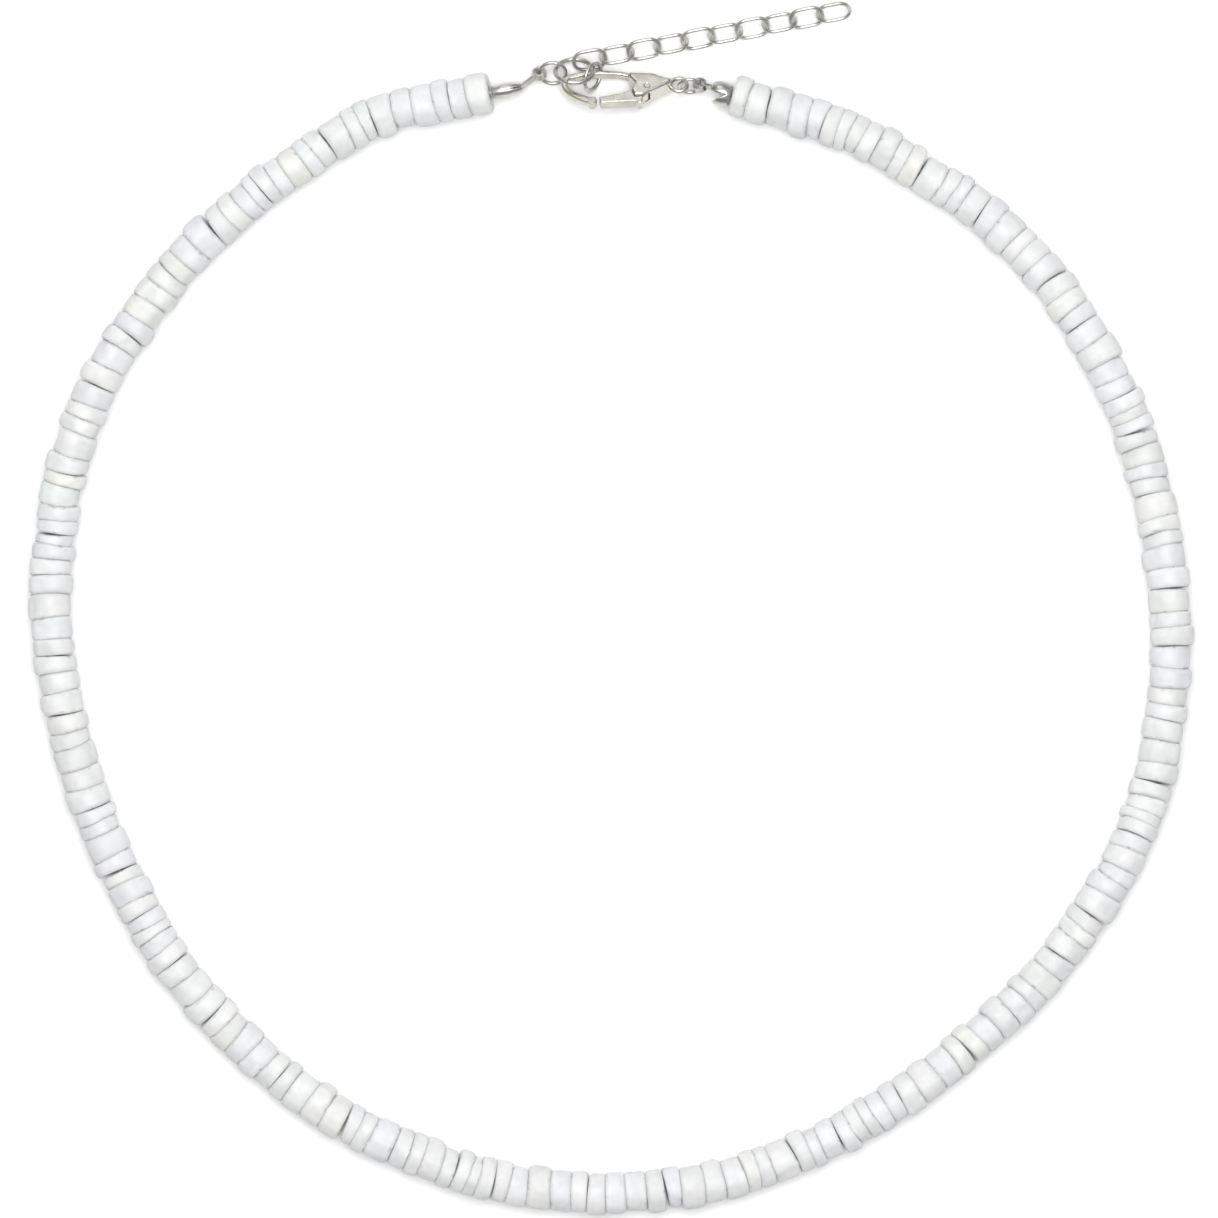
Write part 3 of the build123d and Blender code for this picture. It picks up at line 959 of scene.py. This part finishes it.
@dataclass
class WireRing:
    """A cut ring of round wire, read from its CAD node."""

    node: str
    finish: Material
    ring_steps: int = 96
    wire_steps: int = 20

    def build(self) -> Object:
        """Makes the ring's piece in its place and dresses it.

        Returns:
            The finished piece.
        """
        seat = RingSeat.of(Solid.all_of(self.node)[0])
        piece = point_carrier(self.node + "_wire", [(0, 0, 0)], {})
        self.tree(seat).run(piece)
        piece.data.transform(Matrix((seat.side, seat.up, seat.normal)).transposed().to_4x4())
        piece.data.transform(Matrix.Translation(seat.middle))
        outward_normals(piece.data)
        dress(piece, Body.NECKLACE, Slot.CHAIN, self.node)
        return piece

    def tree(self, seat: RingSeat) -> GeometryTree:
        """Builds the tree that bends a wire round, up to its cut.

        Args:
            seat: The ring's sizes.

        Returns:
            The finished tree.
        """
        work = GeometryTree(self.node, {
            "Radius": seat.radius, "Wire radius": seat.wire_radius, "Ring steps": self.ring_steps,
            "Wire steps": self.wire_steps, "Cut angle": seat.cut_angle, "Cut width": seat.cut_width})
        size = work.inputs
        start = work.add(MATH, (size["Cut width"], 0.5, size["Cut angle"]), "MULTIPLY_ADD")
        sweep = work.add(MATH, (2 * math.pi, size["Cut width"]), "SUBTRACT")
        line = work.add("GeometryNodeCurveArc", {"Resolution": size["Ring steps"], "Radius": size["Radius"],
                                                 "Start Angle": start, "Sweep Angle": sweep})
        section = work.add("GeometryNodeCurvePrimitiveCircle", {"Resolution": size["Wire steps"],
                                                                "Radius": size["Wire radius"]})
        tube = work.add("GeometryNodeCurveToMesh", {"Curve": line, "Profile Curve": section,
                                                    "Fill Caps": True})
        work.finish(tube, self.finish)
        return work


@dataclass
class CableChain:
    """The extender's oval links, one tree for all of them."""

    nodes: list[str]
    finish: Material
    corner: float = 1.25 * MM
    corner_steps: int = 9
    wire_steps: int = 16

    def build(self) -> Object:
        """Makes one piece of all the links and dresses it.

        Returns:
            The finished piece.
        """
        middles, turns, reaches = [], [], []
        for node in self.nodes:
            corners = Solid.all_of(node)[0].corners
            middle = (corners.max(axis=0) + corners.min(axis=0)) / 2
            along, across, normal = np.linalg.svd(corners - middle)[2]
            if along[0] < 0:
                along = -along
            across = np.cross(normal, along)
            turn = Matrix((along, across, normal)).transposed()
            places = (corners - middle) @ np.array(turn)
            reaches.append(places.max(axis=0) - places.min(axis=0))
            middles.append(middle)
            turns.append(turn.to_euler())
        piece = point_carrier("extender_chain", middles, {"link_turn": turns})
        self.tree(*np.mean(reaches, axis=0)).run(piece)
        outward_normals(piece.data)
        dress(piece, Body.NECKLACE, Slot.CHAIN, *self.nodes)
        return piece

    def tree(self, length: float, width: float, wire: float) -> GeometryTree:
        """Builds the tree that bends one link and repeats it.

        Args:
            length: A link's length over all.
            width: Its width over all.
            wire: The wire's thickness.

        Returns:
            The finished tree.
        """
        work = GeometryTree("cable_chain", {
            "Length": float(length - wire), "Width": float(width - wire), "Wire radius": float(wire / 2),
            "Corner radius": self.corner, "Corner steps": self.corner_steps, "Wire steps": self.wire_steps})
        size = work.inputs
        oval = work.add("GeometryNodeCurvePrimitiveQuadrilateral", {"Width": size["Length"],
                                                                    "Height": size["Width"]})
        rounded = work.add("GeometryNodeFilletCurve", {"Curve": oval, "Radius": size["Corner radius"],
                                                       "Count": size["Corner steps"]}, mode="POLY")
        section = work.add("GeometryNodeCurvePrimitiveCircle", {"Resolution": size["Wire steps"],
                                                                "Radius": size["Wire radius"]})
        link = work.add("GeometryNodeCurveToMesh", {"Curve": rounded, "Profile Curve": section})
        turn = work.add(NAMED, {"Name": "link_turn"}, data_type="FLOAT_VECTOR")
        links = work.add("GeometryNodeInstanceOnPoints", {"Points": size["Geometry"], "Instance": link,
                                                          "Rotation": turn})
        work.finish(links, self.finish)
        return work


@dataclass
class CastPiece:
    """A cast or stamped metal piece: its CAD solid with the soft edges that casting and plating give.

    Attributes:
        voxel_mm: How finely it is meshed anew.
        passes: How often its edges are softened.
        softness: How much of the way a point moves in each pass.
    """

    node: str
    finish: Material
    body: Body
    slot: Slot
    voxel_mm: float
    passes: int
    softness: float = 0.5

    def build(self) -> Object:
        """Softens a copy of the CAD node and dresses it.

        The copy is meshed anew in millimetres, because the modifier is too coarse for a piece this small.

        Returns:
            The finished piece.
        """
        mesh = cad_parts[self.node].data.copy()
        work = bmesh.new()
        work.from_mesh(mesh)
        bmesh.ops.remove_doubles(work, verts=work.verts, dist=MERGE_DISTANCE)
        work.to_mesh(mesh)
        work.free()
        mesh.transform(Matrix.Scale(1 / MM, 4))
        piece = new_object(self.node + "_cast", mesh)
        even = piece.modifiers.new("even", "REMESH")
        even.mode = "VOXEL"
        even.voxel_size = self.voxel_mm
        soft = piece.modifiers.new("soft", "SMOOTH")
        soft.factor = self.softness
        soft.iterations = self.passes
        bake_modifiers(piece)
        piece.data.transform(Matrix.Scale(MM, 4))
        piece.data.materials.clear()
        piece.data.materials.append(self.finish)
        piece.data.shade_smooth()
        dress(piece, self.body, self.slot, self.node)
        return piece


@dataclass(frozen=True)
class SoftLight:
    """A square soft light, in metres and watts, that the camera doesn't see."""

    name: str
    place: tuple[float, float, float]
    aim: tuple[float, float, float]
    size: float
    power: float

    def build(self) -> None:
        """Adds the light to the scene and turns it to its aim."""
        lamp = bpy.data.lights.new(self.name, "AREA")
        lamp.size = self.size
        lamp.energy = self.power
        holder = bpy.data.objects.new(self.name, lamp)
        holder.location = self.place
        holder.visible_camera = False
        holder.rotation_euler = (Vector(self.aim) - Vector(self.place)).to_track_quat("-Z", "Y").to_euler()
        bpy.context.scene.collection.objects.link(holder)


@dataclass
class Studio:
    """Pale floor, soft light and the camera straight above, as in the photograph."""

    lights: tuple[SoftLight, ...] = (
        SoftLight("overhead", place=(0.0, 0.08, 0.8), aim=(0.0, 0.0, 0.0), size=0.6, power=6.3),
        SoftLight("window", place=(-0.1, 0.8, 0.4), aim=(0.0, 0.06, 0.0), size=0.35, power=0.8))
    photo_width: float = 139.5 * MM
    photo_middle: tuple[float, float] = (0.0, 3.3 * MM)
    photo_height: float = 2.5 * MM
    lens: float = 300.0
    sensor: float = 36.0
    nearest: float = 0.01
    floor_size: float = 1.6
    floor_colour: str = "#F8F8F8"
    floor_roughness: float = 0.9
    horizon: float = 0.03
    zenith: float = 0.62

    def build(self) -> None:
        """Makes the floor, the lights, the surroundings and the camera."""
        bpy.context.scene.view_settings.view_transform = "Standard"
        self.floor()
        for light in self.lights:
            light.build()
        self.surroundings()
        self.camera()

    def floor(self) -> None:
        """Makes the matt floor that the necklace lies on."""
        material = bpy.data.materials.new("pale_sweep")
        material.use_nodes = True
        shader = material.node_tree.nodes["Principled BSDF"]
        shader.inputs["Base Color"].default_value = linear(self.floor_colour)
        shader.inputs["Roughness"].default_value = self.floor_roughness
        half = self.floor_size / 2
        corners = [(-half, -half, 0), (half, -half, 0), (half, half, 0), (-half, half, 0)]
        mesh = bpy.data.meshes.new("floor")
        mesh.from_pydata(corners, [], [(0, 1, 2, 3)])
        mesh.materials.append(material)
        floor = new_object("floor", mesh)

    def surroundings(self) -> None:
        """Lights the scene from all round, bright above and dim at the horizon."""
        world = bpy.data.worlds.new("studio")
        bpy.context.scene.world = world
        world.use_nodes = True
        tree = world.node_tree
        direction = add_node(tree, "ShaderNodeTexCoord").outputs["Generated"]
        heading = add_node(tree, SEPARATE, (direction,))
        strength = add_node(tree, MAP_RANGE, {"Value": heading.outputs["Z"], "To Min": self.horizon,
                                              "To Max": self.zenith})
        background = tree.nodes["Background"]
        background.inputs["Color"].default_value = (1, 1, 1, 1)
        tree.links.new(strength.outputs[0], background.inputs["Strength"])

    def camera(self) -> None:
        """Hangs the camera over the necklace, looking straight down."""
        camera = bpy.data.objects.new("camera", bpy.data.cameras.new("camera"))
        bpy.context.scene.collection.objects.link(camera)
        camera.data.lens = self.lens
        camera.data.sensor_width = self.sensor
        camera.data.clip_start = self.nearest
        distance = self.photo_width * self.lens / self.sensor
        camera.location = (*self.photo_middle, self.photo_height + distance)
        bpy.context.scene.camera = camera


def main() -> None:
    """Builds the necklace's pieces in order, then the studio."""
    logging.basicConfig(level=logging.INFO, format="%(message)s")
    shell = ShellFinish().material()
    clasp_metal = NICKEL_SILVER.material()
    chain_metal = RHODIUM.material()
    thread = ThreadFinish().material()
    ShellStrand("bead_strand_left", shell, seed=11).build()
    ShellStrand("bead_strand_right", shell, seed=47).build()
    for node in ("jump_ring_left", "end_ring", "clasp_hold_ring", "jump_ring_right"):
        WireRing(node, chain_metal).build()
    links = sorted(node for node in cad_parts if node.startswith("extender_link"))
    CableChain(links, chain_metal).build()
    for node in ("bead_tip_left", "bead_tip_right"):
        CastPiece(node, chain_metal, Body.NECKLACE, Slot.CHAIN, voxel_mm=0.045, passes=3).build()
    CastPiece("clasp_body", clasp_metal, Body.NECKLACE, Slot.CLASP, voxel_mm=0.06, passes=4).build()
    CastPiece("clasp_lever", clasp_metal, Body.LEVER, Slot.CLASP, voxel_mm=0.05, passes=3).build()
    keep_node("thread", thread, Slot.THREAD)
    keep_node("clasp_pivot_pin", clasp_metal, Slot.CLASP)
    Studio().build()


if __name__ == "__main__":
    main()
